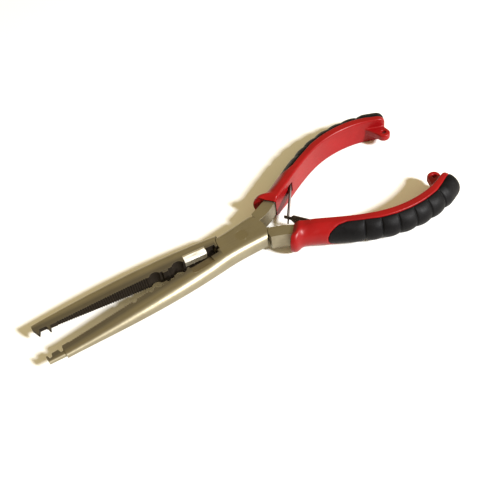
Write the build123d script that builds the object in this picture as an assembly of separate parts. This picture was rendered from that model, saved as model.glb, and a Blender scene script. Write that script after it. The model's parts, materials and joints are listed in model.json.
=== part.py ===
from build123d import *
import os
from math import cos, pi, radians, sin, tan

os.makedirs("parts", exist_ok=True)

# Long-nose fishing pliers with a box joint, millimetres.
# +X runs from the jaw tips to the handle ends, +Z is up from the table, and the
# origin is on the table under the middle of the overall length.
# Each half is drawn closed and then turned about the pivot to where it rests open.

# ---- layout ----
PIVOT_X = 1.0            # pivot axis, from the middle of the overall length
HANDLE_HEIGHT = 15.0     # thickness of the handles, which lie on the table
MID_Z = HANDLE_HEIGHT / 2
REST_ANGLE = 4.1         # each half from its closed place, degrees
SPARE_ANGLE = 2.5        # further opening between the halves, degrees
FACE_GAP = 0.1           # each jaw face from the middle plane when closed

# ---- joint ----
JOINT_THICKNESS = 9.0
JOINT_CORNER = 3.2       # rounding of the joint's long edges
SEAM_RADIUS = 12.6       # the box ends on this circle about the pivot
SEAM_GAP = 0.35
TONGUE_THICKNESS = 4.0
TONGUE_RADIUS = 7.2
TONGUE_SIDE_GAP = 0.1    # tongue to the side walls of its slot
ARM_REACH = 14.5         # tongue's arms, from the pivot into jaw and shank
RUNNING_GAP = 0.05       # tongue to the plates, and bore to the pin
PIN_RADIUS = 3.2

# ---- jaws ----
TIP_X = -106.4
TIP_THICKNESS = 2.3
TOOTH_DEPTH = 2.2        # split-ring teeth beyond the jaw face
SERRATION_PITCH = 1.15
SERRATION_DEPTH = 0.45
SERRATION_START = -95.0
SERRATION_END = -49.0
CUTTER_FRONT = -29.3
CUTTER_BACK = -17.7
CUTTER_EDGE_Z = 9.9      # height of the cutting edge
CUTTER_FLOOR_Z = 5.4     # underside of the cutter blocks
CUTTER_TOP = 4.16        # top of the cutter blocks, from the middle plane
CUTTER_BACKING = 0.9     # cutter behind its bevel
CUTTER_RELIEF = 1.5      # depth of the clearance under the cutters
FAR_BEVEL = 2.5
NEAR_BEVEL = 4.3
THROAT_BACK = -12.3
THROAT_DEPTH = 1.7

# ---- handles ----
GRIP_SKIN = 1.8          # thickness of the rubber over the red plastic
RED_STRIP = 3.5          # flat part of the handle's section beside the inner face
GROOVE_DEPTH = 0.7
GROOVE_WIDTH = 1.1
GROOVE_COUNT = 6
GROOVE_START = 0.388     # first groove and spacing, as shares of the handle's inner edge
GROOVE_STEP = 0.0975
TANG_THICKNESS = 6.0
TANG_NEAR = 0.9          # tang's sides, from the handle's inner face
TANG_FAR = 6.0
TANG_START = 0.03        # the tang's shares of the handle's inner edge
TANG_END = 0.8
TANG_FRONT_X = 29.0      # where the shank steps down to the tang
SHANK_THICKNESS = 8.6
LANYARD_HOLE = Vector(101.0, 20.9)
LANYARD_RADIUS = 1.3
LANYARD_THICKNESS = 4.0
LANYARD_LOBE = 3.6       # radius of the tab around its hole
GUARD_EDGE = 0.8         # guard's top and bottom inside the handle's height

# ---- return spring ----
LEAF_ROOT = Vector(39.85, 17.4)
LEAF_CROSSING = Vector(27.3, 0.0)
LEAF_THICKNESS = 0.7
LEAF_WIDTH = 5.0
LEAF_OVERRUN = 2.0       # each leaf past the place where they cross
TONGUE_WIDTH = 1.6       # the near leaf's tongue, between the far leaf's tines
FORK_WIDTH = 2.3

PIVOT = Axis((PIVOT_X, 0, 0), (0, 0, 1))
CLOSED_SWING = 2 * REST_ANGLE
FULL_SWING = CLOSED_SWING + SPARE_ANGLE

# x, width from the middle plane, thickness and edge rounding along a closed jaw
JAW_STATIONS = [
    (PIVOT_X - 14, 8.2, JOINT_THICKNESS, JOINT_CORNER),
    (-27.0, 9.2, 8.4, 3.6),
    (-57.0, 9.0, 6.8, 3.1),
    (-77.0, 7.8, 4.8, 2.2),
    (-94.0, 6.3, 2.8, 1.25),
    (TIP_X, 4.7, TIP_THICKNESS, 1.0),
]
# x, radius and depth of the notches for crimping, and x of the near jaw's two small ones
CRIMP_NOTCHES = [(-45.3, 3.0, 1.5), (-33.3, 3.2, 1.7)]
SMALL_NOTCHES = (-59.5, -50.2)
# distance from the pivot, half width of the bar that the joint is made from
BAR_STATIONS = [(-14, 8.2), (-10, 8.05), (2, 8.5), (14, 9.2)]

# the inner edge of the far handle at rest, and the handle's width along it
HANDLE_EDGE = [
    (28.0, 10.0), (36.5, 14.7), (44.0, 19.0), (53.5, 24.0), (63.5, 28.1),
    (74.0, 30.3), (84.0, 30.4), (93.5, 28.6), (101.0, 25.6),
]
HANDLE_STATIONS = [
    (0.0, 8.3), (0.12, 8.8), (0.3, 9.4), (0.5, 10.0), (0.7, 10.4), (0.85, 10.6), (0.97, 10.4),
]
# rounding of the handle's end: distance past the last station, share of the section kept
HANDLE_CAP = [(3.3, 0.95), (5.4, 0.83), (6.4, 0.62)]


def block(x0, x1, y0, y1, z0=-50, z1=50):
    """A box from its limits."""
    return Pos((x0 + x1) / 2, (y0 + y1) / 2, (z0 + z1) / 2) * Box(x1 - x0, y1 - y0, z1 - z0)


def slab(outline, z0, z1):
    """A closed outline of points, raised from z0 to z1."""
    return Pos(0, 0, z0) * extrude(make_face(Polyline(*outline, close=True)), z1 - z0)


def mid_slab(outline, thickness):
    """The same, centred on the middle plane of the steel."""
    return slab(outline, MID_Z - thickness / 2, MID_Z + thickness / 2)


def flip(shape):
    """The mirror image across the middle plane between the handles."""
    return mirror(shape, about=Plane.XZ)


def open_far(shape):
    """A closed piece of the far jaw's half, turned to where it rests."""
    return shape.rotate(PIVOT, -REST_ANGLE)


def open_near(shape):
    """A closed piece of the near jaw's half, turned to where it rests."""
    return shape.rotate(PIVOT, REST_ANGLE)


def about_pivot(radius, angle):
    """Point at a radius and angle about the pivot."""
    return (PIVOT_X + radius * cos(radians(angle)), radius * sin(radians(angle)))


# ---- jaws, closed ----
def jaw_section(x, width, thickness, corner):
    """Flat inner face, flat top and bottom, rounded outer side."""
    half = thickness / 2
    side = width - FACE_GAP
    bite = corner * (1 - cos(pi / 4))
    top = ThreePointArc((side - corner, half), (side - bite, half - bite), (side, half - corner))
    bottom = ThreePointArc((side, corner - half), (side - bite, bite - half), (side - corner, -half))
    edges = [
        Line((0, -half), (0, half)),
        Line((0, half), top @ 0),
        top,
        Line(top @ 1, bottom @ 0),
        bottom,
        Line(bottom @ 1, (0, -half)),
    ]
    plane = Plane(origin=(x, FACE_GAP, MID_Z), x_dir=(0, 1, 0), z_dir=(1, 0, 0))
    return plane * make_face(edges)


def plain_jaw(stations):
    """The far jaw, closed, before its face is cut."""
    return loft([jaw_section(*station) for station in stations])


def serration_comb(shift):
    """The teeth cut across a jaw face, as one saw-edged solid."""
    count = int((SERRATION_END - SERRATION_START) / SERRATION_PITCH)
    outline = [(SERRATION_START + shift, -5)]
    for tooth in range(count):
        x = SERRATION_START + shift + tooth * SERRATION_PITCH
        outline.append((x, FACE_GAP - 0.02))
        outline.append((x + SERRATION_PITCH / 2, FACE_GAP + SERRATION_DEPTH))
    outline.append((SERRATION_START + shift + count * SERRATION_PITCH, FACE_GAP - 0.02))
    outline.append((SERRATION_START + shift + count * SERRATION_PITCH, -5))
    return slab(outline, 0, HANDLE_HEIGHT)


def round_notch(x, radius, depth):
    """A round notch across a jaw face, for crimping sleeves."""
    return Pos(x, FACE_GAP + depth - radius, MID_Z) * Cylinder(radius, HANDLE_HEIGHT)


def crimp_notches():
    """The two crimping notches of a jaw."""
    front, back = [round_notch(*notch) for notch in CRIMP_NOTCHES]
    return front + back


def throat():
    """The cleared space between cutter and joint."""
    return block(CUTTER_BACK - 0.1, THROAT_BACK, -5, THROAT_DEPTH)


def cutter_block(bevel_width):
    """A closed far cutter: bevel down from the top face to the cutting edge, and a relief below."""
    top = MID_Z + CUTTER_TOP
    back = bevel_width + CUTTER_BACKING
    outline = [
        (FACE_GAP - 0.02, CUTTER_EDGE_Z), (bevel_width, top), (back, top),
        (back, CUTTER_FLOOR_Z), (CUTTER_RELIEF, CUTTER_FLOOR_Z), (0.45, CUTTER_EDGE_Z - 1.2),
    ]
    face = make_face(Polyline(*outline, close=True))
    plane = Plane(origin=(CUTTER_FRONT, 0, 0), x_dir=(0, 1, 0), z_dir=(1, 0, 0))
    return plane * extrude(face, CUTTER_BACK - CUTTER_FRONT)


def cutter_pocket(bevel_width):
    """What the jaw loses for its cutter and for the clearance under it."""
    seat = block(CUTTER_FRONT, CUTTER_BACK, -5, bevel_width + CUTTER_BACKING, CUTTER_FLOOR_Z, 30)
    return seat + block(CUTTER_FRONT, CUTTER_BACK, -5, CUTTER_RELIEF)


def tooth(x, reach):
    """Outline of one split-ring tooth of the far jaw: a wedge with a narrow end, at x."""
    return [
        (x - 0.25, FACE_GAP - reach), (x + 0.25, FACE_GAP - reach),
        (x + 1.05, 1.5), (x - 1.25, 1.5),
    ]


def far_jaw():
    """The far jaw with its teeth, closed."""
    jaw = plain_jaw(JAW_STATIONS)
    hook = [
        (TIP_X, 2.4), (-104.45, FACE_GAP - TOOTH_DEPTH + 0.2), (-104.0, FACE_GAP - TOOTH_DEPTH + 0.2),
        (-103.2, 0.6), (-103.2, 2.4),
    ]
    jaw -= block(TIP_X - 1, -100.1, -5, 0.6)
    jaw -= slab([(TIP_X - 1, -1), (-104.2, -1), (-104.9, 0), (TIP_X, 2.4), (TIP_X - 1, 2.4)], 0, 15)
    jaw += mid_slab(hook, TIP_THICKNESS)
    jaw += mid_slab(tooth(-98.85, TOOTH_DEPTH + 0.1), TIP_THICKNESS)
    jaw -= serration_comb(0)
    jaw -= crimp_notches()
    jaw -= cutter_pocket(FAR_BEVEL) + throat()
    wedge = [(-41.6, 1.0), (-41.0, FACE_GAP - 1.0), (-38.4, FACE_GAP - 1.0), (-37.8, 1.0)]
    jaw += mid_slab(wedge, 7.4)
    return jaw


def near_jaw():
    """The near jaw with recesses for the far jaw's teeth, closed, drawn on the far side and flipped."""
    jaw = plain_jaw(JAW_STATIONS[:4] + [(-98.0, 6.2, 3.2, 1.4)])
    nose = plain_jaw([(-97.5, 5.3, 2.4, 1.1), (TIP_X + 0.3, 4.4, 2.2, 1.0)])
    jaw += nose
    jaw -= block(TIP_X - 1, -97.6, -5, 0.5)
    jaw -= slab([(-105.7, -1), (-104.95, 2.3), (-103.7, 2.3), (-102.8, -1)], 0, HANDLE_HEIGHT)
    jaw -= slab([(-100.4, -1), (-99.4, 2.6), (-98.3, 2.6), (-97.4, -1)], 0, HANDLE_HEIGHT)
    jaw -= serration_comb(SERRATION_PITCH / 2)
    for x in SMALL_NOTCHES:
        jaw -= round_notch(x, 1.4, 1.3)
    jaw -= crimp_notches()
    jaw -= slab([(-42.1, -1), (-41.4, 1.5), (-38.0, 1.5), (-37.3, -1)], 0, HANDLE_HEIGHT)
    jaw -= cutter_pocket(NEAR_BEVEL) + throat()
    return flip(jaw)


# ---- joint, closed ----
def bar():
    """The bar with rounded long edges that both halves are made from at the joint."""
    sections = []
    for distance, half_width in BAR_STATIONS:
        plane = Plane(origin=(PIVOT_X + distance, 0, MID_Z), x_dir=(0, 1, 0), z_dir=(1, 0, 0))
        sections.append(plane * RectangleRounded(2 * half_width, JOINT_THICKNESS, JOINT_CORNER))
    return loft(sections)


def pivot_cylinder(radius):
    """A cylinder about the pivot, taller than the joint."""
    return Pos(PIVOT_X, 0, MID_Z) * Cylinder(radius, 2 * HANDLE_HEIGHT)


def front_arm(radius, swing, gap):
    """Outline of the tongue's arm to the far jaw, or of the room for it, by swing and gap."""
    outer = about_pivot(radius, 90 + swing)
    end = (
        PIVOT_X - ARM_REACH,
        outer[1] - (outer[0] - PIVOT_X + ARM_REACH) * tan(radians(swing)),
    )
    return [
        (PIVOT_X, 0), outer, end,
        (PIVOT_X - ARM_REACH, FACE_GAP - gap), (PIVOT_X - 6.9, -2.0 - gap),
    ]


def turn_half(outline):
    """The outline turned half a turn about the pivot."""
    return [(2 * PIVOT_X - x, -y) for x, y in outline]


def tongue():
    """The tongue of the through half: a disc on the pin with an arm to each end."""
    arm = front_arm(TONGUE_RADIUS, FULL_SWING, 0)
    disc = Pos(PIVOT_X, 0, MID_Z) * Cylinder(TONGUE_RADIUS, TONGUE_THICKNESS)
    return disc + mid_slab(arm, TONGUE_THICKNESS) + mid_slab(turn_half(arm), TONGUE_THICKNESS)


def tongue_room():
    """The slot through the box that the tongue swings in."""
    radius = TONGUE_RADIUS + TONGUE_SIDE_GAP
    height = TONGUE_THICKNESS + 2 * RUNNING_GAP
    arm = front_arm(radius, 0, 0.15)
    disc = Pos(PIVOT_X, 0, MID_Z) * Cylinder(radius, height)
    return disc + mid_slab(arm, height) + mid_slab(turn_half(arm), height)


def quarter(front, far):
    """The quarter of space before or behind the pivot, on the far or near side of the middle plane."""
    x_limits = (-200, PIVOT_X) if front else (PIVOT_X, 200)
    y_limits = (FACE_GAP, 100) if far else (-100, -FACE_GAP)
    return block(*x_limits, *y_limits)


# ---- handles, at rest ----
handle_edge = Spline(*HANDLE_EDGE)


def handle_place(share, inset=0.0, past=0.0):
    """Point at a share of the handle's inner edge, moved outwards by inset and on by past."""
    tangent = handle_edge % share
    outward = Vector(-tangent.Y, tangent.X)
    return handle_edge @ share + outward * inset + tangent * past


def handle_plane(share, past=0.0):
    """Plane across the handle there: its X runs outwards and its Y runs up."""
    tangent = handle_edge % share
    return Plane(origin=handle_place(share, 0, past), x_dir=(-tangent.Y, tangent.X, 0), z_dir=tangent)


def handle_section(width, skin, scale):
    """Handle section: flat inner face, flat strips above and below, round outer side."""
    side = width - skin
    half = MID_Z - skin
    edge = -3.0 if skin else 0.0
    strip = RED_STRIP
    soften = 0.0 if skin else 0.8
    rim = ThreePointArc((strip, half), (side, 0), (strip, -half))
    corners = [
        (strip, -half), (edge + soften, -half), (edge, soften - half),
        (edge, half - soften), (edge + soften, half), (strip, half),
    ]
    if not skin:
        body = make_face([Polyline(*corners), rim])
    else:
        body = make_face([Polyline((strip, -half), (edge, -half), (edge, half), (strip, half)), rim])
    centre = width / 2
    return Pos(centre * (1 - scale), 0, 0) * body.scale(scale)


def handle_body(skin=0.0):
    """The whole far handle, or what lies deeper than skin under its outer surface."""
    sections = []
    for share, width in HANDLE_STATIONS:
        sections.append(handle_plane(share) * Pos(0, MID_Z, 0) * handle_section(width, skin, 1.0))
    last_share, last_width = HANDLE_STATIONS[-1]
    cap = [sections[-1]]
    for past, scale in HANDLE_CAP:
        place = handle_plane(last_share, past - skin) * Pos(0, MID_Z, 0)
        cap.append(place * handle_section(last_width, skin, scale))
    return loft(sections) + loft(cap)


def finger_guard():
    """The collar at the sleeve's front, flaring into a guard for the finger."""
    edges = [
        Line((35.0, 16.5), (28.2, 10.9)),
        Line((28.2, 10.9), (18.5, 16.9)),
        ThreePointArc((18.5, 16.9), (18.2, 18.8), (19.9, 19.5)),
        Spline((19.9, 19.5), (24.2, 18.3), (29.0, 18.9), (35.0, 20.2)),
        Line((35.0, 20.2), (35.0, 16.5)),
    ]
    body = Pos(0, 0, GUARD_EDGE) * extrude(make_face(edges), HANDLE_HEIGHT - 2 * GUARD_EDGE)
    return chamfer(body.edges().group_by(Axis.Z)[-1] + body.edges().group_by(Axis.Z)[0], 1.0)


def lanyard_tab():
    """The rounded tab with a hole inside the handle's end."""
    lobe = Pos(LANYARD_HOLE.X, LANYARD_HOLE.Y, MID_Z) * Cylinder(LANYARD_LOBE, LANYARD_THICKNESS)
    web = mid_slab([(97.4, 21.3), (93.0, 30.5), (104.0, 28.0), (104.5, 21.9)], LANYARD_THICKNESS)
    return lobe + web


def lanyard_hole():
    """The hole that a lanyard clips into."""
    return Pos(LANYARD_HOLE.X, LANYARD_HOLE.Y, MID_Z) * Cylinder(LANYARD_RADIUS, HANDLE_HEIGHT)


def grip_zone():
    """All that lies outside the line where red plastic meets black rubber."""
    line = Spline(
        (30.0, 28.0), (33.0, 24.9), (38.0, 23.7), (46.0, 24.3), (54.0, 28.3), (63.0, 32.4),
        (73.0, 34.5), (83.0, 34.8), (93.0, 32.9), (102.0, 28.6), (110.0, 23.5),
    )
    rim = Polyline((110.0, 23.5), (125.0, 23.5), (125.0, 60.0), (20.0, 60.0), (30.0, 28.0))
    return Pos(0, 0, -HANDLE_HEIGHT) * extrude(make_face([line, rim]), 3 * HANDLE_HEIGHT)


def grip_grooves(body):
    """Narrow grooves across the rubber, evenly spaced along the handle."""
    inside = handle_body(GROOVE_DEPTH)
    grooves = []
    for number in range(GROOVE_COUNT):
        plane = handle_plane(GROOVE_START + GROOVE_STEP * number)
        cut = plane * Pos(0, MID_Z, 0) * Box(40, 40, GROOVE_WIDTH)
        grooves.append((body & cut) - inside)
    return grooves


def tang():
    """The steel from the joint into the far sleeve: shank, then tang."""
    shares = [TANG_START + (TANG_END - TANG_START) * step / 5 for step in range(6)]
    inner = [(12.2, 3.2), (18.5, 5.1)] + [tuple(handle_place(s, TANG_NEAR))[:2] for s in shares]
    outer = [tuple(handle_place(s, TANG_FAR))[:2] for s in reversed(shares)]
    outer += [(20.0, 12.7), (12.2, 9.3)]
    inner_edge = Spline(*inner)
    outer_edge = Spline(*outer)
    face = make_face([inner_edge, Line(inner[-1], outer[0]), outer_edge, Line(outer[-1], inner[0])])
    whole = Pos(0, 0, MID_Z - SHANK_THICKNESS / 2) * extrude(face, SHANK_THICKNESS)
    spare = (SHANK_THICKNESS - TANG_THICKNESS) / 2
    top = MID_Z + TANG_THICKNESS / 2
    bottom = MID_Z - TANG_THICKNESS / 2
    whole -= block(TANG_FRONT_X, 130, -20, 60, top, top + spare + 1)
    whole -= block(TANG_FRONT_X, 130, -20, 60, bottom - spare - 1, bottom)
    return whole


# ---- return spring, at rest ----
def leaf_frame():
    """Plane of the far leaf's side: its X runs from root to crossing, its Y runs up."""
    run = LEAF_CROSSING - LEAF_ROOT
    along = run.normalized()
    return Plane(origin=(LEAF_ROOT.X, LEAF_ROOT.Y, MID_Z), x_dir=along, z_dir=(along.Y, -along.X, 0))


def leaf_length():
    """From the root to where the leaves cross."""
    return (LEAF_CROSSING - LEAF_ROOT).length


def far_leaf():
    """The far leaf: a flat strip with a forked end."""
    length = leaf_length()
    strip = Pos((length + LEAF_OVERRUN) / 2, 0) * Rectangle(length + LEAF_OVERRUN, LEAF_WIDTH)
    fork = Pos(length + 1.0, 0) * Rectangle(5.0, FORK_WIDTH)
    return leaf_frame() * extrude(strip - fork, LEAF_THICKNESS / 2, both=True)


def near_leaf():
    """The near leaf: a flat strip that narrows to a tongue."""
    length = leaf_length()
    shoulder = length - 1.5
    half = LEAF_WIDTH / 2
    narrow = TONGUE_WIDTH / 2
    outline = [
        (0, -half), (shoulder - 1.5, -half), (shoulder, -narrow), (length + LEAF_OVERRUN, -narrow),
        (length + LEAF_OVERRUN, narrow), (shoulder, narrow), (shoulder - 1.5, half), (0, half),
    ]
    face = make_face(Polyline(*outline, close=True))
    return flip(leaf_frame() * extrude(face, LEAF_THICKNESS / 2, both=True))


def leaf_slot():
    """The wedge-shaped slot in the far sleeve that the leaf stands in."""
    outline = [(-0.6, -0.75), (-0.6, 0.75), (9.0, 2.4), (9.0, -2.4)]
    face = make_face(Polyline(*outline, close=True))
    frame = leaf_frame()
    flat = Plane(origin=frame.origin - Vector(0, 0, 3.2), x_dir=frame.x_dir, z_dir=(0, 0, 1))
    return flat * extrude(face, 6.4)


# ---- assemble the pieces ----
joint_bar = bar()
far_tang = tang() - leaf_slot()
bore = pivot_cylinder(PIN_RADIUS)
running_bore = pivot_cylinder(PIN_RADIUS + RUNNING_GAP)
seam = pivot_cylinder(SEAM_RADIUS)
outer_seam = pivot_cylinder(SEAM_RADIUS + SEAM_GAP)

box = joint_bar & (seam + quarter(front=True, far=False))
box = open_near(box + near_jaw())
box += far_tang - open_near(block(-200, PIVOT_X, -100, 100))
box -= open_near(tongue_room())
box -= bore

through = joint_bar & (quarter(front=True, far=True) - outer_seam)
through = open_far(through + far_jaw() + tongue())
through += flip(far_tang) - outer_seam
through -= running_bore

pin = Pos(PIVOT_X, 0, MID_Z) * Cylinder(PIN_RADIUS, JOINT_THICKNESS)

handle = handle_body()
core = handle_body(GRIP_SKIN)
grip = (handle - core) & grip_zone()
sleeve = (handle + finger_guard() + lanyard_tab()) - grip - far_tang - leaf_slot() - lanyard_hole()
for groove in grip_grooves(handle):
    grip -= groove

pieces = {
    "box_half": box,
    "through_half": through,
    "pivot_pin": pin,
    "far_cutter": open_far(cutter_block(FAR_BEVEL)),
    "near_cutter": open_near(flip(cutter_block(NEAR_BEVEL))),
    "far_sleeve": sleeve,
    "near_sleeve": flip(sleeve),
    "far_grip": grip,
    "near_grip": flip(grip),
    "far_leaf_spring": far_leaf(),
    "near_leaf_spring": near_leaf(),
}

for name, piece in pieces.items():
    export_step(piece, f"parts/{name}.step")
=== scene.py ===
import json
import math
import bmesh
import bpy
import numpy as np
from mathutils import Matrix, Vector


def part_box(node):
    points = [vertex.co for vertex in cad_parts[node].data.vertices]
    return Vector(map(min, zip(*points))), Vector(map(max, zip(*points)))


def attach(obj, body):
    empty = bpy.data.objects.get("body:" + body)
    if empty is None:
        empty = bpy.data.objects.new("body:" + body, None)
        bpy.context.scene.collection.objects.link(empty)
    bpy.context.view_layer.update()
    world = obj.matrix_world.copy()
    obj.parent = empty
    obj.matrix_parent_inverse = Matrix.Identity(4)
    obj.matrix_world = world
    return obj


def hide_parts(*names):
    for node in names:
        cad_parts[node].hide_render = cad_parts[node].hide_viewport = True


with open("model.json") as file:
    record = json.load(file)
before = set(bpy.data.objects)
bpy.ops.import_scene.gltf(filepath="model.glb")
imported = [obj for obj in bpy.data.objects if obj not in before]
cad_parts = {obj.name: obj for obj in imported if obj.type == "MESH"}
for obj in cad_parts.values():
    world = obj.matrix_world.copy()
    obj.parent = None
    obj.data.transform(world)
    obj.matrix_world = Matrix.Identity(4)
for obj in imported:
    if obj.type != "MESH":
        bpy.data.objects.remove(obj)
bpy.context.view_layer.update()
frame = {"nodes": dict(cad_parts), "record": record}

MM = 0.001

# ---- camera: the viewing angle, in degrees, and where it looks ----
CAMERA_AZIMUTH = -22.43
CAMERA_ELEVATION = 48.23
CAMERA_ROLL = -10.16
CAMERA_DISTANCE = 0.3907
CAMERA_LENS = 60.0
CAMERA_AIM = Vector((0.0004, 0.0014, 0.0075))

# ---- light ----
KEY_DIRECTION = Vector((0.41, -0.70, 0.574))
KEY_DISTANCE = 2.4
KEY_SIZE = 0.3
KEY_POWER = 108.0
ROOM_COLOR = (1.0, 0.80, 0.42, 1.0)
ROOM_STRENGTH = 0.56
FLOOR_SIZE = 6.0

# ---- handle form, in mm: the same driving values as the CAD handles ----
HANDLE_EDGE = [
    (28.0, 10.0), (36.5, 14.7), (44.0, 19.0), (53.5, 24.0), (63.5, 28.1),
    (74.0, 30.3), (84.0, 30.4), (93.5, 28.6), (101.0, 25.6),
]
WIDTH_STATIONS = [(0.0, 8.3), (0.12, 8.8), (0.3, 9.4), (0.5, 10.0), (0.7, 10.4), (0.85, 10.6), (0.97, 10.4)]
LAST_STATION = 0.97
CAP_LENGTH = 6.35
CAP_POWER = 3.6
STRIP = 3.5              # width of the flat top beside the inner face
RIDGE = 0.9              # rounding of the edge beside the inner face
STEADY_POINTS = 32       # points of a half outline that run steadily inwards
HALF_HEIGHT = (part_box("far_grip")[1].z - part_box("far_grip")[0].z) / 2 / MM
MID_Z = HALF_HEIGHT

# where red meets black: distance along the inner edge, distance out from it
SEAM_LINE = [
    (13.4, 8.8), (14.2, 7.9), (15.5, 7.0), (18.5, 5.0), (22.6, 3.7), (31.4, 3.7), (40.7, 4.25),
    (59.4, 4.3), (68.8, 4.0), (78.1, 3.2), (83.0, 2.9),
]
GROOVE_START = 0.388     # shares of the inner edge, as in the CAD
GROOVE_STEP = 0.0975
GROOVE_COUNT = 6
RUBBER_SUNK = 1.9        # how far the red core lies under the rubber
RIB_DEPTH = 0.82
RIB_POWER = 0.7          # below 1, ribs are full and the hollows between them narrow
SLIT_DEPTH = 0.5
SLIT_WIDTH = 0.3
END_SWELL = 0.3          # how far the grip's end stands out past its ribs
ROLL_DEPTH = 0.42        # rolled edge along the seam
ROLL_WIDTH = 0.45
SKIN = 0.05              # the rubber's least distance inside the form
GRIP_ROW = 0.22          # spacing of the grip's rows
SLEEVE_ROW = 0.6


def smooth_curve(points):
    """A natural cubic spline through points: returns its length and a function of distance along it."""
    points = np.array(points, float)
    knots = np.r_[0, np.cumsum(np.linalg.norm(np.diff(points, axis=0), axis=1))]
    steps = np.diff(knots)
    count = len(points)
    system = np.eye(count)
    right = np.zeros_like(points)
    for i in range(1, count - 1):
        system[i, i - 1:i + 2] = steps[i - 1], 2 * (steps[i - 1] + steps[i]), steps[i]
        right[i] = 6 * ((points[i + 1] - points[i]) / steps[i] - (points[i] - points[i - 1]) / steps[i - 1])
    bend = np.linalg.solve(system, right)

    def raw(u):
        i = np.clip(np.searchsorted(knots, u, side="right") - 1, 0, count - 2)
        h = steps[i][:, None]
        a = (knots[i + 1] - u)[:, None] / h
        b = 1 - a
        curve = a * points[i] + b * points[i + 1]
        return curve + ((a ** 3 - a) * bend[i] + (b ** 3 - b) * bend[i + 1]) * h * h / 6

    u = np.linspace(0, knots[-1], 2000)
    walked = np.r_[0, np.cumsum(np.linalg.norm(np.diff(raw(u), axis=0), axis=1))]
    return walked[-1], lambda s: raw(np.interp(s, walked, u))


EDGE_LENGTH, edge_point = smooth_curve(HANDLE_EDGE)
LAST = LAST_STATION * EDGE_LENGTH
PROBE = 0.05             # half step for tangents along the edge


def handle_points(s, n, z):
    """Points of the far handle: s along its inner edge, n out from it, z from the middle plane."""
    s, n, z = np.broadcast_arrays(np.asarray(s, float), n, z)
    inside = np.clip(s, PROBE, LAST)
    tangent = edge_point(inside + PROBE) - edge_point(inside - PROBE)
    tangent /= np.linalg.norm(tangent, axis=1)[:, None]
    outward = np.c_[-tangent[:, 1], tangent[:, 0]]
    flat = edge_point(inside) + tangent * (s - inside)[:, None] + outward * n[:, None]
    return np.c_[flat, z + MID_Z]


def width_at(s):
    """Width of the handle at a distance along its inner edge."""
    shares, widths = zip(*WIDTH_STATIONS)
    return np.interp(np.asarray(s) / EDGE_LENGTH, shares, widths)


def smooth_step(low, high, x):
    """0 below low, 1 above high, smooth between."""
    t = np.clip((np.asarray(x, float) - low) / (high - low), 0, 1)
    return t * t * (3 - 2 * t)


def half_outline(width, half):
    """Upper half of the handle's section, from the outermost point to the middle of the inner face."""
    radius = (half ** 2 + (width - STRIP) ** 2) / (2 * (width - STRIP))
    centre = width - radius
    angles = np.linspace(0, math.asin(min(1.0, half / radius)), 26)
    arc = np.c_[centre + radius * np.cos(angles), radius * np.sin(angles)]
    strip = np.c_[np.linspace(STRIP, RIDGE, 6)[1:], np.full(5, half)]
    turn = np.linspace(0, math.pi / 2, 7)[1:]
    ridge = np.c_[RIDGE - RIDGE * np.sin(turn), half - RIDGE + RIDGE * np.cos(turn)]
    face = np.c_[np.zeros(9), np.linspace(half - RIDGE, 0, 10)[1:]]
    return np.concatenate([arc, strip, ridge, face])


def outline_lengths(outline):
    """Distance walked along an outline."""
    return np.r_[0, np.cumsum(np.linalg.norm(np.diff(outline, axis=0), axis=1))]


def outline_normals(outline):
    """Outward normals along a half outline."""
    along = np.gradient(outline, axis=0)
    along /= np.linalg.norm(along, axis=1)[:, None]
    return np.c_[along[:, 1], -along[:, 0]]


def full_ring(half_ring):
    """The closed outline from its upper half, which runs from outermost to the inner face."""
    lower = half_ring[1:-1][::-1] * (1, -1)
    return np.concatenate([half_ring, lower])


def seam_at(s):
    """How far out from the inner edge the red plastic meets the black rubber."""
    places, distances = zip(*SEAM_LINE)
    seam = np.interp(s, places, distances)
    return np.where(np.asarray(s) < places[0], 50.0, seam)


def cap_scale(s):
    """How the section shrinks round the handle's end."""
    share = np.clip((s - LAST) / CAP_LENGTH, 0, 1)
    return max(0.02, (1 - share ** CAP_POWER) ** (1 / CAP_POWER))


# ---- meshes ----
def mesh_from_rings(name, rings):
    """A tube of quads through closed rings of equal count, in mm, with capped ends."""
    points = np.concatenate(rings) * MM
    count = len(rings[0])
    faces = []
    for row in range(len(rings) - 1):
        for column in range(count):
            following = (column + 1) % count
            low = row * count
            faces.append((low + column, low + following, low + count + following, low + count + column))
    faces.append(tuple(reversed(range(count))))
    faces.append(tuple(range((len(rings) - 1) * count, len(rings) * count)))
    mesh = bpy.data.meshes.new(name)
    mesh.from_pydata(points.tolist(), [], faces)
    return tidy_mesh(mesh)


def tidy_mesh(mesh):
    """Doubled points joined and faces turned outwards."""
    work = bmesh.new()
    work.from_mesh(mesh)
    bmesh.ops.remove_doubles(work, verts=work.verts, dist=0.00001)
    bmesh.ops.dissolve_degenerate(work, edges=work.edges, dist=0.000001)
    bmesh.ops.recalc_face_normals(work, faces=work.faces)
    work.to_mesh(mesh)
    work.free()
    return mesh


def add_object(name, mesh):
    """An object of a mesh, in the scene."""
    piece = bpy.data.objects.new(name, mesh)
    bpy.context.scene.collection.objects.link(piece)
    return piece


def apply_modifiers(piece):
    """The object's mesh, with its modifiers made real."""
    graph = bpy.context.evaluated_depsgraph_get()
    mesh = bpy.data.meshes.new_from_object(piece.evaluated_get(graph))
    piece.modifiers.clear()
    piece.data = mesh
    return piece


def cut_away(piece, cutter):
    """Cuts one object out of another and deletes the cutter."""
    cut = piece.modifiers.new("cut", "BOOLEAN")
    cut.operation = "DIFFERENCE"
    cut.solver = "EXACT"
    cut.object = cutter
    apply_modifiers(piece)
    bpy.data.objects.remove(cutter)


def mirrored(name, piece):
    """The same piece for the other handle."""
    mesh = piece.data.copy()
    mesh.transform(Matrix.Diagonal((1, -1, 1, 1)))
    mesh.flip_normals()
    return add_object(name, mesh)


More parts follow.
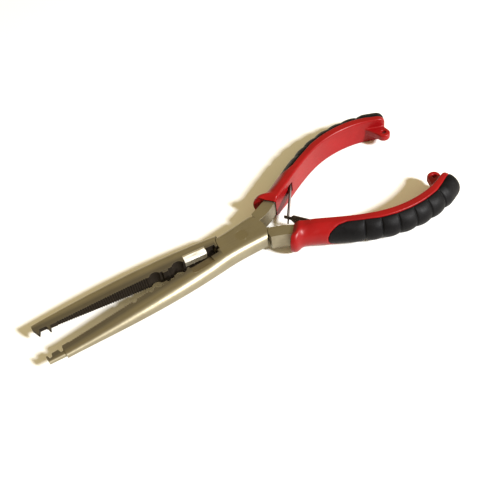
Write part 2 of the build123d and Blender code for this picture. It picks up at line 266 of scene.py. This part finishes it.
# ---- rubber grips ----
def rib_offset(s, walked, seam_walk):
    """How far the rubber's surface lies inside its outermost form."""
    from_seam = seam_walk - walked
    pitch = GROOVE_STEP * EDGE_LENGTH
    phase = (s - GROOVE_START * EDGE_LENGTH) / pitch
    last = GROOVE_COUNT - 1
    nearest = np.clip(round(phase), 0, last)
    to_groove = (phase - nearest) * pitch
    in_ribs = -0.5 < phase < last + 0.5
    swell = abs(math.sin(math.pi * phase)) ** RIB_POWER if in_ribs else 1.0
    reach = 0.25 + 0.75 * smooth_step(0.5, 6.0, from_seam)
    ribs = RIB_DEPTH * (1 - swell) * reach
    slit = SLIT_DEPTH * math.exp(-(to_groove / SLIT_WIDTH) ** 2) * smooth_step(0.7, 1.3, from_seam)
    end_swell = END_SWELL * (1 - smooth_step(last + 0.1, last + 0.45, phase))
    rolled = ROLL_DEPTH * np.exp(-(from_seam / ROLL_WIDTH) ** 2)
    return ribs + slit + end_swell + rolled + SKIN


def grip_rows():
    """Distances along the edge for the rows of the grip: close at its rounded front and at its end."""
    front = SEAM_LINE[0][0] + 0.05
    start = front + np.linspace(0, 1, 14) ** 2 * 3.0
    middle = np.arange(start[-1] + GRIP_ROW, LAST, GRIP_ROW)
    cap = LAST + CAP_LENGTH * np.sin(np.linspace(0, math.pi / 2, 26))
    return np.concatenate([start, middle, cap])


def grip_mesh():
    """The far grip: ribbed outer skin with a rolled edge, and a hidden underside."""
    rings = []
    for s in grip_rows():
        scale = cap_scale(s)
        pole = SEAM_LINE[-1][1]
        outline = half_outline(width_at(min(s, LAST)), HALF_HEIGHT - 0.02)
        lengths = outline_lengths(outline)
        seam = min(float(seam_at(s)), outline[0][0] - 0.01)
        seam_walk = np.interp(-seam, -outline[:, 0][:STEADY_POINTS], lengths[:STEADY_POINTS])
        walked = seam_walk * np.sin(np.linspace(0, math.pi / 2, 30))
        normals = outline_normals(outline)
        shape = np.c_[np.interp(walked, lengths, outline[:, 0]), np.interp(walked, lengths, outline[:, 1])]
        lean = np.c_[np.interp(walked, lengths, normals[:, 0]), np.interp(walked, lengths, normals[:, 1])]
        outer = shape - lean * rib_offset(s, walked, seam_walk)[:, None] * min(1.0, scale + 0.1)
        inner = shape - lean * (RUBBER_SUNK + 0.3)
        loop = full_ring(np.concatenate([outer, inner[::-1]]))
        loop[:, 0] = pole + (loop[:, 0] - pole) * scale
        loop[:, 1] *= scale
        rings.append(handle_points(np.full(len(loop), s), loop[:, 0], loop[:, 1]))
    return mesh_from_rings("far_grip_detail", rings)


# ---- red sleeves ----
COLLAR_BACK = 15.0       # where the collar has become the plain handle
LIP_INNER = -3.0         # the lip's place along the edge, at the inner face and at the lobe
LIP_OUTER = -5.6
LIP_POWER = 1.15
SHANK_SIDES = (0.35, 6.1)
SHANK_HALF = 4.35
COLLAR_DIP = 0.5         # the waist behind the collar's lip
COLLAR_HUG = 2.3         # how far the lip comes down to the shank
# width of the collar by distance along the edge
COLLAR_WIDTHS = [
    (-4.9, 11.9), (-3.6, 12.2), (-2.2, 11.7), (-0.5, 10.1),
    (1.2, 9.2), (4.0, 8.75), (9.0, 8.7), (15.0, 8.9),
]
# the mouth's rings: share of the way from shank to lip, depth behind the lip
MOUTH = [(0.0, 9.0), (0.0, 3.4), (0.12, 2.7), (0.4, 1.75), (0.7, 0.85), (0.88, 0.25), (0.96, 0.0)]

collar_length, collar_curve = smooth_curve(COLLAR_WIDTHS)
collar_line = collar_curve(np.linspace(0, collar_length, 400))


def collar_width(s):
    """Width of the collar, with its finger guard, along the edge."""
    return float(np.interp(s, collar_line[:, 0], collar_line[:, 1]))


def collar_ring(share, inset=0.0):
    """A ring of the collar: share 0 is the slanted lip, 1 the plain handle."""
    width = collar_width(LIP_OUTER + (COLLAR_BACK - LIP_OUTER) * share) - inset
    dip = COLLAR_DIP * math.exp(-((share - 0.3) / 0.16) ** 2)
    outline = half_outline(width, HALF_HEIGHT - 0.15 - inset - dip)
    ring = full_ring(outline)
    hug = COLLAR_HUG * math.exp(-(share / 0.1) ** 2) * (1 - smooth_step(5.0, 9.5, ring[:, 0]))
    ring[:, 1] *= 1 - hug / HALF_HEIGHT
    out_share = np.clip(ring[:, 0] / width, 0, 1)
    lip = LIP_INNER + (LIP_OUTER - LIP_INNER) * out_share ** LIP_POWER
    s = lip + (COLLAR_BACK - lip) * share
    return s, ring


def mouth_rings():
    """Rings from the tunnel round the shank out to the collar's lip."""
    rings = []
    lip_s, lip = collar_ring(0.0)
    seat = np.c_[np.clip(lip[:, 0], *SHANK_SIDES), np.clip(lip[:, 1], -SHANK_HALF, SHANK_HALF)]
    for blend, depth in MOUTH:
        ring = seat + (lip - seat) * blend
        rings.append(handle_points(lip_s + depth, ring[:, 0], ring[:, 1]))
    return rings


def sleeve_body_mesh():
    """The far sleeve's moulded body: mouth, flared collar, handle and end."""
    rings = mouth_rings()
    for share, inset in [(0.0, 0.35), (0.012, 0.1)]:
        s, ring = collar_ring(share, inset)
        rings.append(handle_points(s, ring[:, 0], ring[:, 1]))
    for share in np.linspace(0.03, 1.0, 30):
        s, ring = collar_ring(share)
        rings.append(sunk_ring(s, ring, 1.0))
    rows = np.arange(COLLAR_BACK + SLEEVE_ROW, LAST, SLEEVE_ROW)
    cap = LAST + (CAP_LENGTH - 0.25) * np.sin(np.linspace(0, math.pi / 2, 18))
    for s in np.concatenate([rows, cap]):
        ring = full_ring(half_outline(float(width_at(min(s, LAST))), HALF_HEIGHT - 0.15))
        rings.append(sunk_ring(np.full(len(ring), s), ring, cap_scale(s)))
    return mesh_from_rings("far_sleeve_detail", rings)


def sunk_ring(s, ring, scale):
    """A ring of the sleeve, sunk where the rubber lies over it."""
    pole = SEAM_LINE[-1][1]
    into_rubber = ring[:, 0] - seam_at(s)
    centre = np.array([STRIP, 0.0])
    towards = ring - centre
    towards /= np.maximum(np.linalg.norm(towards, axis=1), 0.01)[:, None]
    sunk = ring - towards * (RUBBER_SUNK * smooth_step(-0.25, 0.35, into_rubber))[:, None]
    place_n = pole + (sunk[:, 0] - pole) * scale
    return handle_points(s, place_n, sunk[:, 1] * scale)


# ---- lanyard tab and spring slot, in mm ----
TAB_LOBE = 3.5
TAB_HALF = 2.0
TAB_EDGE = [(0.0, 0.7), (0.25, 0.25), (0.8, 0.0)]     # distance in from a face, inset there
TAB_OUTER_FLANK = [(104.2, 22.6), (103.9, 24.6), (104.2, 27.4)]
TAB_INNER_FLANK = [(93.2, 30.4), (95.3, 26.6), (96.7, 23.4)]
HOLE_RADIUS = 1.25
DRILL_SPAN = (-5.0, 20.0)
LEAF_TIP_INSET = 0.4
LEAF_TIP_Y = -1.4
SLOT_ENDS = [(-1.0, 0.65), (9.0, 1.7)]                # distance from the leaf's root, half width
SLOT_HALF_HEIGHT = 3.2
VOXEL = 0.3


def tab_outline():
    """Outline of the lanyard tab, in mm: a round lobe with hollow flanks into the handle."""
    mount = next(m for m in frame["record"]["mounts"] if m["name"] == "far_lanyard_hole")
    centre = Vector((mount["pos_m"][0] / MM, mount["pos_m"][1] / MM))
    angles = np.radians(np.linspace(185, 352, 24))
    arc = [(centre.x + TAB_LOBE * math.cos(a), centre.y + TAB_LOBE * math.sin(a)) for a in angles]
    return centre, np.array(arc + TAB_OUTER_FLANK + TAB_INNER_FLANK)


def tab_object():
    """The lanyard tab with rounded edges, and the centre of its hole."""
    centre, outline = tab_outline()
    middle = outline.mean(axis=0)
    lower = [(-TAB_HALF + distance, inset) for distance, inset in TAB_EDGE]
    upper = [(TAB_HALF - distance, inset) for distance, inset in reversed(TAB_EDGE)]
    rings = []
    for height, inset in lower + upper:
        away = outline - middle
        away /= np.linalg.norm(away, axis=1)[:, None]
        flat = outline - away * inset
        rings.append(np.c_[flat, np.full(len(flat), MID_Z + height)])
    tab = add_object("tab", mesh_from_rings("tab", rings))
    return tab, centre


def drill(centre, radius):
    """A cutter for a vertical hole."""
    angles = np.linspace(0, 2 * math.pi, 48, endpoint=False)
    circle = np.c_[centre.x + radius * np.cos(angles), centre.y + radius * np.sin(angles)]
    rings = [np.c_[circle, np.full(len(circle), z)] for z in DRILL_SPAN]
    return add_object("drill", mesh_from_rings("drill", rings))


def slot_cutter():
    """A cutter for the wedge-shaped slot that the return leaf stands in."""
    joint = next(j for j in frame["record"]["behaviour"]["joints"] if j["name"] == "far_leaf_bend")
    root = Vector(joint["pos_m"][:2]) / MM
    far_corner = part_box("far_leaf_spring")[0]
    along = (Vector((far_corner.x / MM + LEAF_TIP_INSET, LEAF_TIP_Y)) - root).normalized()
    side = Vector((-along.y, along.x))
    rings = []
    for height in (-SLOT_HALF_HEIGHT, SLOT_HALF_HEIGHT):
        corners = []
        for distance, half in SLOT_ENDS:
            corners += [root + along * distance + side * half * sign for sign in (1, -1)]
        corners = [corners[0], corners[1], corners[3], corners[2]]
        rings.append(np.array([(c.x, c.y, MID_Z + height) for c in corners]))
    return add_object("slot", mesh_from_rings("slot", rings))


def sleeve_object():
    """The far sleeve: body, tab, slot and hole, remeshed so that all edges are softly moulded."""
    body = add_object("far_sleeve_detail", sleeve_body_mesh())
    tab, centre = tab_object()
    cut_away(tab, drill(centre, HOLE_RADIUS))
    cut_away(body, slot_cutter())
    join = bmesh.new()
    join.from_mesh(body.data)
    join.from_mesh(tab.data)
    join.to_mesh(body.data)
    join.free()
    bpy.data.objects.remove(tab)
    remesh = body.modifiers.new("remesh", "REMESH")
    remesh.mode = "VOXEL"
    remesh.voxel_size = VOXEL * MM
    soften = body.modifiers.new("soften", "SMOOTH")
    soften.factor = 0.5
    soften.iterations = 4
    return apply_modifiers(body)


# ---- materials ----
class Shader:
    """Short calls for building a material's nodes."""

    def __init__(self, name):
        self.material = bpy.data.materials.new(name)
        self.material.use_nodes = True
        self.tree = self.material.node_tree
        self.surface = self.tree.nodes["Principled BSDF"]
        self.place = self.tree.nodes.new("ShaderNodeTexCoord").outputs["Object"]

    def link(self, source, target):
        self.tree.links.new(source, target)

    def noise(self, scale, stretch=(1, 1, 1), detail=4.0, roughness=0.55):
        """Noise with a feature size of about 1/scale metres."""
        mapping = self.tree.nodes.new("ShaderNodeMapping")
        mapping.inputs["Scale"].default_value = stretch
        self.link(self.place, mapping.inputs["Vector"])
        noise = self.tree.nodes.new("ShaderNodeTexNoise")
        noise.inputs["Scale"].default_value = scale
        noise.inputs["Detail"].default_value = detail
        noise.inputs["Roughness"].default_value = roughness
        self.link(mapping.outputs[0], noise.inputs["Vector"])
        return noise.outputs["Fac"]

    def ramp(self, source, low, high, from_min=0.3, from_max=0.7):
        """Source spread over low to high."""
        spread = self.tree.nodes.new("ShaderNodeMapRange")
        spread.inputs["From Min"].default_value = from_min
        spread.inputs["From Max"].default_value = from_max
        spread.inputs["To Min"].default_value = low
        spread.inputs["To Max"].default_value = high
        self.link(source, spread.inputs["Value"])
        return spread.outputs[0]

    def blend(self, factor, first, second):
        """Colour from first to second by factor; each is a colour or a socket."""
        mix = self.tree.nodes.new("ShaderNodeMix")
        mix.data_type = "RGBA"
        self.link(factor, mix.inputs["Factor"])
        for value, socket in ((first, mix.inputs[6]), (second, mix.inputs[7])):
            if isinstance(value, tuple):
                socket.default_value = (*value, 1.0)
            else:
                self.link(value, socket)
        return mix.outputs[2]

    def math(self, operation, first, second=0.0):
        """One arithmetic step on sockets or numbers."""
        node = self.tree.nodes.new("ShaderNodeMath")
        node.operation = operation
        for value, socket in ((first, node.inputs[0]), (second, node.inputs[1])):
            if isinstance(value, (int, float)):
                socket.default_value = value
            else:
                self.link(value, socket)
        return node.outputs[0]

    def axis(self, source, name):
        """One coordinate of a vector."""
        split = self.tree.nodes.new("ShaderNodeSeparateXYZ")
        self.link(source, split.inputs[0])
        return split.outputs[name]

    def bump(self, height, distance):
        """Surface relief of a depth in metres."""
        bump = self.tree.nodes.new("ShaderNodeBump")
        bump.inputs["Distance"].default_value = distance
        self.link(height, bump.inputs["Height"])
        self.link(bump.outputs[0], self.surface.inputs["Normal"])
        return bump

    def soft_edges(self, bump, radius):
        """Edges rounded by a radius in metres."""
        bevel = self.tree.nodes.new("ShaderNodeBevel")
        bevel.samples = 4
        bevel.inputs["Radius"].default_value = radius
        self.link(bevel.outputs[0], bump.inputs["Normal"])

    def set(self, **values):
        """Values set on the shader's own sockets."""
        for name, value in values.items():
            self.surface.inputs[name.replace("_", " ")].default_value = value


def steel(name, light, dark, roughness, gap_shade_side=0):
    """Satin plated steel with fine grain; a jaw side as the last argument paints shade on that jaw's worked
    inner faces, in the gap between the jaws.
    """
    look = Shader(name)
    patches = look.noise(70, detail=3)
    grain = look.noise(900, (0.12, 1, 1), detail=3)
    pits = look.noise(3500, detail=2)
    color = look.blend(look.ramp(patches, 0, 1), light, dark)
    color = look.blend(look.ramp(grain, 0, 0.35, 0.45, 0.7), color, dark)
    rough = look.math("ADD", look.ramp(grain, roughness, roughness + 0.12), look.ramp(patches, 0, 0.08))
    if gap_shade_side:
        # painted shade in the gap between the jaws: these inner faces are darkened to near black and made
        # rougher
        gap_shade_factor = jaw_gap_shade(look, gap_shade_side)
        color = look.blend(gap_shade_factor, color, (0.045, 0.036, 0.028))
        rough = look.math("ADD", rough, look.math("MULTIPLY", gap_shade_factor, 0.25))
    look.link(color, look.surface.inputs["Base Color"])
    look.link(rough, look.surface.inputs["Roughness"])
    relief = look.math("ADD", look.math("MULTIPLY", grain, 0.6), look.math("MULTIPLY", pits, 0.4))
    bump = look.bump(relief, 0.00002)
    look.soft_edges(bump, 0.00022)
    look.set(Metallic=1.0)
    return look.material


# the painted shade on the jaws' worked faces in the gap between them: half the opening angle at rest, then
# where the painted shade fades, in metres
REST_HALF_ANGLE = math.radians(4.1)
FACE_DEPTH = (0.0024, 0.0046)
JOINT_FRONT = (0.0128, 0.0132)
FACE_TURN = (-0.25, 0.2)    # how far the surface has turned to the other jaw


def jaw_gap_shade(look, side):
    """1 on the worked inner faces of the jaw on that side, in the gap between the jaws, where shade is
    painted darker than the rest.
    """
    pivot = frame["record"]["behaviour"]["joints"][0]["pos_m"]
    x = look.axis(look.place, "X")
    y = look.axis(look.place, "Y")
    ahead = look.math("SUBTRACT", pivot[0], x)
    face_line = look.math("MULTIPLY", ahead, math.tan(REST_HALF_ANGLE))
    depth = look.math("SUBTRACT", look.math("MULTIPLY", y, side), face_line)
    near_face = look.ramp(depth, 1.0, 0.0, *FACE_DEPTH)
    in_front = look.ramp(ahead, 0.0, 1.0, *JOINT_FRONT)
    coordinates = look.place.node
    facing = look.math("MULTIPLY", look.axis(coordinates.outputs["Normal"], "Y"), -side)
    turned = look.ramp(facing, 0.0, 1.0, *FACE_TURN)
    return look.math("MULTIPLY", look.math("MULTIPLY", near_face, in_front), turned)


def red_plastic():
    """Glossy moulded red plastic with a faint orange peel and scuffs."""
    look = Shader("red_plastic")
    clouds = look.noise(60, detail=3)
    peel = look.noise(1400, detail=2)
    scuffs = look.noise(420, (0.25, 1.3, 1), detail=6, roughness=0.7)
    color = look.blend(look.ramp(clouds, 0, 1), (0.26, 0.0035, 0.005), (0.20, 0.0025, 0.004))
    color = look.blend(look.ramp(scuffs, 0, 0.22, 0.56, 0.75), color, (0.36, 0.03, 0.03))
    look.link(color, look.surface.inputs["Base Color"])
    rough = look.math("ADD", look.ramp(peel, 0.30, 0.38), look.ramp(scuffs, 0, 0.14, 0.5, 0.75))
    look.link(rough, look.surface.inputs["Roughness"])
    look.bump(look.math("ADD", peel, look.math("MULTIPLY", scuffs, 0.5)), 0.00003)
    look.set(IOR=1.42, Specular_IOR_Level=0.3)
    return look.material


def black_rubber():
    """Black moulded rubber: fine pebble grain, dusty in places, smoother where hands polish it."""
    look = Shader("black_rubber")
    pebble = look.noise(2600, detail=2)
    worn = look.noise(120, detail=4)
    dust = look.noise(700, detail=6, roughness=0.7)
    color = look.blend(look.ramp(worn, 0, 1), (0.002, 0.002, 0.003), (0.005, 0.005, 0.006))
    color = look.blend(look.ramp(dust, 0, 0.35, 0.55, 0.8), color, (0.016, 0.016, 0.016))
    look.link(color, look.surface.inputs["Base Color"])
    rough = look.math("ADD", look.ramp(worn, 0.36, 0.5), look.ramp(dust, 0, 0.15))
    look.link(rough, look.surface.inputs["Roughness"])
    look.bump(look.math("ADD", pebble, look.math("MULTIPLY", dust, 0.4)), 0.00006)
    look.set(IOR=1.3, Specular_IOR_Level=0.25)
    return look.material


def floor_material():
    """A plain pale floor with the least unevenness."""
    look = Shader("floor")
    tone = look.ramp(look.noise(3, detail=2), 0, 1)
    look.link(look.blend(tone, (0.93, 0.93, 0.93), (0.91, 0.91, 0.905)), look.surface.inputs["Base Color"])
    look.set(Roughness=0.9)
    return look.material


# ---- camera and stage ----
def make_camera():
    """The camera, aimed near the middle of the tool."""
    azimuth = math.radians(CAMERA_AZIMUTH)
    elevation = math.radians(CAMERA_ELEVATION)
    back = Vector((
        math.sin(azimuth) * math.cos(elevation),
        -math.cos(azimuth) * math.cos(elevation),
        math.sin(elevation),
    ))
    turn = (-back).to_track_quat("-Z", "Y").to_matrix()
    turn = turn @ Matrix.Rotation(math.radians(CAMERA_ROLL), 3, "Z")
    data = bpy.data.cameras.new("camera")
    data.lens = CAMERA_LENS
    data.sensor_width = 36.0
    data.clip_start = 0.01
    data.clip_end = 20.0
    camera = bpy.data.objects.new("camera", data)
    camera.matrix_world = Matrix.Translation(CAMERA_AIM + back * CAMERA_DISTANCE) @ turn.to_4x4()
    bpy.context.scene.collection.objects.link(camera)
    bpy.context.scene.camera = camera


def make_stage():
    """Pale floor, one soft key light and a warm surrounding light."""
    bpy.ops.mesh.primitive_plane_add(size=FLOOR_SIZE, location=(0, 0, 0))
    floor = bpy.context.object
    floor.name = "floor"
    floor.data.materials.append(floor_material())

    key = bpy.data.lights.new("key", "AREA")
    key.energy = KEY_POWER
    key.size = KEY_SIZE
    key_object = bpy.data.objects.new("key", key)
    key_object.location = KEY_DIRECTION * KEY_DISTANCE
    key_object.rotation_mode = "QUATERNION"
    key_object.rotation_quaternion = KEY_DIRECTION.to_track_quat("Z", "Y")
    bpy.context.scene.collection.objects.link(key_object)

    world = bpy.data.worlds.new("world")
    bpy.context.scene.world = world
    world.use_nodes = True
    background = world.node_tree.nodes["Background"]
    background.inputs["Color"].default_value = ROOM_COLOR
    background.inputs["Strength"].default_value = ROOM_STRENGTH
    bpy.context.scene.view_settings.view_transform = "Standard"


make_camera()
make_stage()

# base colours set under this light: darker than the record's, a painted shade that stands in for the dim
# surroundings the steel reflects; near_cutter is a darker, shaded copy of the far_cutter steel, painted
# shade for the darker reflection on that bevel
SHADED_SATIN = ((0.35, 0.32, 0.235), (0.275, 0.245, 0.175))
looks = {
    "box_half": steel("near_jaw_steel", *SHADED_SATIN, 0.40, -1),
    "through_half": steel("far_jaw_steel", *SHADED_SATIN, 0.40, 1),
    "pivot_pin": steel("pin_steel", *SHADED_SATIN, 0.3),
    "far_cutter": steel("cutter_steel", (0.74, 0.73, 0.70), (0.68, 0.67, 0.63), 0.22),
    "far_leaf_spring": steel("leaf_steel", (0.13, 0.105, 0.1), (0.07, 0.055, 0.055), 0.3),
}
# painted shade: the near cutter uses the cutter steel darkened, a shaded copy standing in for the darker
# surroundings its bevel reflects
looks["near_cutter"] = steel("near_cutter_shaded_steel", (0.30, 0.26, 0.19), (0.2, 0.17, 0.12), 0.28)
looks["near_leaf_spring"] = looks["far_leaf_spring"]
for node, look in looks.items():
    mesh = frame["nodes"][node].data
    mesh.materials.clear()
    mesh.materials.append(look)

red = red_plastic()
black = black_rubber()
far_sleeve = sleeve_object()
far_grip = add_object("far_grip_detail", grip_mesh())
near_sleeve = mirrored("near_sleeve_detail", far_sleeve)
near_grip = mirrored("near_grip_detail", far_grip)
for piece, node, body, look, slot in (
    (far_sleeve, "far_sleeve", "box_side", red, "red_plastic"),
    (far_grip, "far_grip", "box_side", black, "black_rubber"),
    (near_sleeve, "near_sleeve", "through_side", red, "red_plastic"),
    (near_grip, "near_grip", "through_side", black, "black_rubber"),
):
    piece.data.materials.clear()
    piece.data.materials.append(look)
    piece.data.shade_smooth()
    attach(piece, body)
    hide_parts(node)
